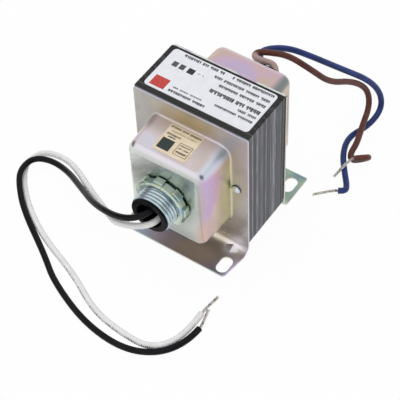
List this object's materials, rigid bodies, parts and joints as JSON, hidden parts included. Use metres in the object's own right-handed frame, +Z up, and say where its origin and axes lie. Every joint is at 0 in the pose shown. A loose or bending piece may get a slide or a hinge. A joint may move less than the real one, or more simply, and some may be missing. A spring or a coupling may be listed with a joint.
{
  "type": "control transformer",
  "caption": "Control transformer with a laminated steel core between drawn metal end bells, slotted mounting feet, a threaded conduit hub and free insulated leads.",
  "frame": {"origin": "middle of the foot slots, on the mounting plane under the feet", "axes": "+X out of the conduit hub, +Y to the right of someone facing the hub, +Z up from the mounting plane"},
  "size_m": [0.2004, 0.1511, 0.0837],
  "materials": {
    "core_steel": "satin dark varnish on silicon steel",
    "plated_sheet": "glossy yellow chromate over zinc",
    "rivet_steel": "bright zinc plate",
    "zinc_steel": "bright zinc plate",
    "black_plastic": "satin",
    "bobbin_nylon": "satin",
    "enamelled_wire": "varnished",
    "coil_paper": "varnished",
    "coil_tape": "satin",
    "white_label": "satin",
    "tan_label": "satin",
    "sleeving": "satin",
    "black_pvc": "satin",
    "white_pvc": "satin",
    "blue_pvc": "satin",
    "brown_pvc": "satin",
    "tinned_strand": "tinned copper"
  },
  "bodies": {
    "root": {"e_laminations": "core_steel", "i_laminations": "core_steel", "front_bell": "plated_sheet", "rear_bell": "plated_sheet", "rivets": "rivet_steel", "conduit_nipple": "zinc_steel", "locknut": "zinc_steel", "hub_bushing": "black_plastic", "rear_bushing": "black_plastic", "bobbin": "bobbin_nylon", "primary_winding": "enamelled_wire", "secondary_winding": "enamelled_wire", "interlayer_wrap": "coil_paper", "outer_wrap": "coil_tape", "rating_label": "white_label", "front_label": "tan_label", "primary_sleeves": "sleeving", "secondary_sleeves": "sleeving", "black_lead": "black_pvc", "white_lead": "white_pvc", "blue_lead": "blue_pvc", "brown_lead": "brown_pvc", "black_lead_end": "tinned_strand", "white_lead_end": "tinned_strand", "blue_lead_end": "tinned_strand", "brown_lead_end": "tinned_strand"}
  },
  "joints": []
}
